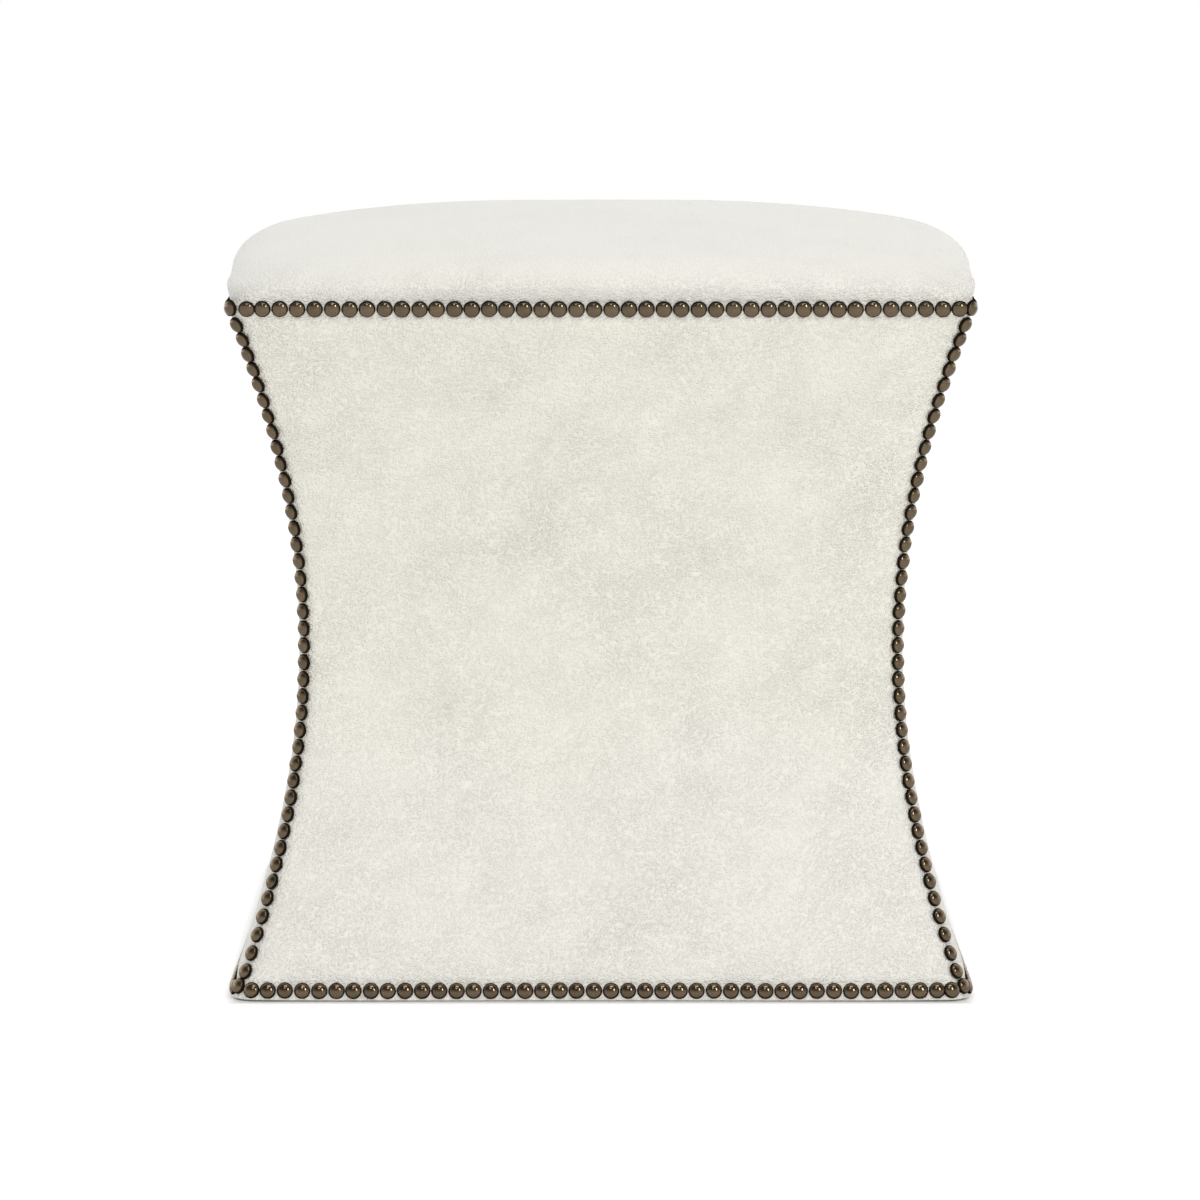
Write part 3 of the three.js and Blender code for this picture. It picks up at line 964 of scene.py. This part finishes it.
def corner_row_places(quarter):
    """Heads down one corner edge, from just below the upper row."""
    edge = []
    for i in range(CORNER_LINE_STEPS + 1):
        z = lerp(UPPER_ROW, LOWER_ROW, i / CORNER_LINE_STEPS)
        place = half_at(z) - radius_at(z) * (1 - math.sqrt(0.5))
        edge.append(Vector((-place, -place, z)))
    total, at = polyline(edge)
    spaces = []
    for k in range(CORNER_HEADS + 1):
        wider = CORNER_WIDER / (1 + math.exp(-(k - WIDER_HEAD) / WIDER_OVER))
        spaces.append(CORNER_SPACE + wider)
    spaces[: len(CORNER_FIRST_SPACES)] = CORNER_FIRST_SPACES
    factor = total / sum(spaces)
    distance = 0.0
    places = []
    side = Vector((1, -1, 0)).normalized()
    for k in range(CORNER_HEADS):
        distance += spaces[k] * factor
        along = direction(at, distance)
        outward = side.cross(along).normalized()
        if outward.dot(Vector((-1, -1, 0))) < 0:
            outward.negate()
        p = at(distance) + outward * CORNER_ROW_PROUD
        shift = along * rng.gauss(0, CORNER_JITTER_ALONG)
        p += shift + side * rng.gauss(0, CORNER_JITTER_ACROSS)
        places.append(placed(p, outward, quarter))
    return places


for q in range(4):
    side_cover(q)
    side_wadding(q)
seat_cover()
for q in range(4):
    upper = side_row_places(q, **UPPER_NAILS)
    heads_object(f"nail_heads_upper_{SIDES[q]}", upper, f"upper_nails_{SIDES[q]}")
    lower = side_row_places(q, **LOWER_NAILS)
    heads_object(f"nail_heads_lower_{SIDES[q]}", lower, f"lower_nails_{SIDES[q]}")
    edge_row = corner_row_places(q)
    heads_object(f"nail_heads_corner_{CORNERS[q]}", edge_row, f"corner_nails_{CORNERS[q]}")


# ---------------------------------------------------------------- inner pieces
def foam_pad():
    """The crowned block under the seat's leather, with a flat foot."""
    foot = UPPER_ROW + FOAM_FOOT
    rings = seat_rings(FOAM_FOOT, FOAM_INSET)
    for ring in rings:
        for p in ring:
            p.z = max(p.z, foot)
    verts, faces = ring_surface(rings)
    count = len(rings[0])
    start = len(verts)
    # The foot is closed by a ring of half the width and a point in its middle.
    verts += [Vector((p.x / 2, p.y / 2, foot)) for p in rings[0]]
    verts.append(Vector((0, 0, foot)))
    for c in range(count):
        d = (c + 1) % count
        faces.append((d, c, start + c, start + d))
        faces.append((start + d, start + c, len(verts) - 1))
    obj = mesh_object("foam_pad", [tuple(v / 1000) for v in verts], faces)
    obj.data.materials.append(FOAM)
    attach(obj, "root")
    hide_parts("seat_foam")


foam_pad()

INNER = {
    "side_liner": LINER,
    "seat_deck": PLY,
    "dust_cover": DUST,
    "glide": GLIDE,
    "corner_post": WOOD[2],
    "corner_block": WOOD[2],
}
for name, obj in frame["nodes"].items():
    material = next((m for key, m in INNER.items() if name.startswith(key)), None)
    if name.startswith(("base_rail", "waist_rail", "top_rail")):
        material = WOOD[0] if name.endswith(("front", "back")) else WOOD[1]
    if material is None:
        continue
    obj.data.materials.clear()
    obj.data.materials.append(material)


# ---------------------------------------------------------------- stage, light, camera
WHITE = (1, 1, 1)
FLOOR_SIZE = 8
FLOOR_COLOR = (0.84, 0.84, 0.84)
FLOOR_GLOW = 0.50
FLOOR_BOUNCE = 0.27
# Between these half widths round the base the floor begins to give light.
FLOOR_DARK, FLOOR_OPEN = 0.239, 0.253
# How far forward the dark part is moved, painting a contact shadow in front of the hem (m).
FLOOR_FORWARD = 0.006

AMBIENT_COLOR = (1.0, 0.995, 0.985)
AMBIENT = 0.695
# Directions (from, to) and strengths (from, to) of the room seen in the gloss.
GLOSS_BEHIND = (-0.15, 0.35, 0.15, 1.0)
GLOSS_LOW = (0.0, 0.60, 0.62, 0.0)

LENS = 160.71
SENSOR = 36
CAMERA_SHIFT = -1.0 / 1200
CAMERA_PLACE = (0, -3.686, 0.750)
CAMERA_TILT = math.radians(82)
LAMP_TARGET = (0, 0, 0.25)

# Name, azimuth, elevation, distance, width, height, power and colour.
LAMPS = (
    ("soft_left", -6, 40, 3.2, 0.5, 0.4, 4, (1.0, 0.99, 0.97)),
    ("key_right", 31, 25, 3.0, 0.32, 0.95, 13, (1.0, 0.98, 0.94)),
    ("top_back", 180, 62, 3.0, 2.4, 1.6, 8, (0.75, 0.9, 1.0)),
    ("front_high", 8, 62, 3.2, 1.6, 0.8, 14, WHITE),
)


def floor():
    """A white floor with the stool's shadow, that lights the stool from below."""
    bpy.ops.mesh.primitive_plane_add(size=FLOOR_SIZE)
    plane = bpy.context.object
    plane.name = "floor"
    material = bpy.data.materials.new("floor_white")
    t = Tree(material)
    path = t.add("ShaderNodeLightPath")
    split = t.split("Object")
    # Under the base the floor gives no light of its own. The dark part lies a little further
    # to the front than the base, as a painted contact shadow along the front hem.
    across = t.math("ABSOLUTE", (split, "X"))
    ahead = t.math("ABSOLUTE", t.math("ADD", (split, "Y"), FLOOR_FORWARD))
    reach = t.math("MAXIMUM", across, ahead)
    open_floor = t.range(reach, FLOOR_DARK, FLOOR_OPEN, 0.0, 1.0)
    # The light it gives elsewhere isn't mirrored by the heads.
    lit = t.math("MULTIPLY", open_floor, FLOOR_BOUNCE)
    unseen = t.math("MULTIPLY", lit, t.math("SUBTRACT", 1.0, (path, "Is Glossy Ray")))
    seen = t.math("MULTIPLY", (path, "Is Camera Ray"), open_floor)
    bounce = t.light("ShaderNodeEmission", WHITE, unseen)
    glow = t.light("ShaderNodeEmission", WHITE, FLOOR_GLOW)
    diffuse = t.add("ShaderNodeBsdfDiffuse")
    t.feed(FLOOR_COLOR, diffuse.inputs["Color"])
    both = t.add("ShaderNodeAddShader")
    t.link(diffuse, 0, both, 0)
    t.feed(t.choose(seen, bounce, glow), both.inputs[1])
    t.finish((both, 0))
    plane.data.materials.append(material)


def world():
    """White to the camera, an even light, and a graded room to the gloss."""
    studio = bpy.data.worlds.new("studio")
    bpy.context.scene.world = studio
    t = Tree(studio, "ShaderNodeOutputWorld")
    path = t.add("ShaderNodeLightPath")
    split = t.split("Generated")
    # The room in the gloss is bright behind the stool and towards its horizon.
    behind = t.range((split, "Y"), *GLOSS_BEHIND)
    low = t.range((split, "Z"), *GLOSS_LOW, "SMOOTHSTEP")
    seen = t.light("ShaderNodeBackground", WHITE, 1.0)
    ambient = t.light("ShaderNodeBackground", AMBIENT_COLOR, AMBIENT)
    glossy = t.light("ShaderNodeBackground", WHITE, t.math("ADD", behind, low))
    unseen = t.choose((path, "Is Glossy Ray"), ambient, glossy)
    t.finish(t.choose((path, "Is Camera Ray"), unseen, seen))


def area(name, azimuth, elevation, distance, width, height, power, color):
    """A soft lamp that looks at the stool; azimuth 0 is in front, and 90 to the right."""
    a, e = math.radians(azimuth), math.radians(elevation)
    away = Vector((math.sin(a) * math.cos(e), -math.cos(a) * math.cos(e), math.sin(e)))
    lamp = bpy.data.lights.new(name, "AREA")
    lamp.shape = "RECTANGLE"
    lamp.size, lamp.size_y = width, height
    lamp.energy = power
    lamp.color = color
    obj = bpy.data.objects.new(name, lamp)
    obj.location = Vector(LAMP_TARGET) + away * distance
    obj.rotation_euler = (-away).to_track_quat("-Z", "Y").to_euler()
    bpy.context.scene.collection.objects.link(obj)


def camera():
    data = bpy.data.cameras.new("camera")
    data.lens = LENS
    data.sensor_width = SENSOR
    data.sensor_fit = "HORIZONTAL"
    data.shift_x = CAMERA_SHIFT
    obj = bpy.data.objects.new("camera", data)
    obj.location = CAMERA_PLACE
    obj.rotation_euler = (CAMERA_TILT, 0, 0)
    bpy.context.scene.collection.objects.link(obj)
    bpy.context.scene.camera = obj


floor()
world()
for lamp in LAMPS:
    area(*lamp)
camera()
bpy.context.scene.view_settings.view_transform = "Standard"
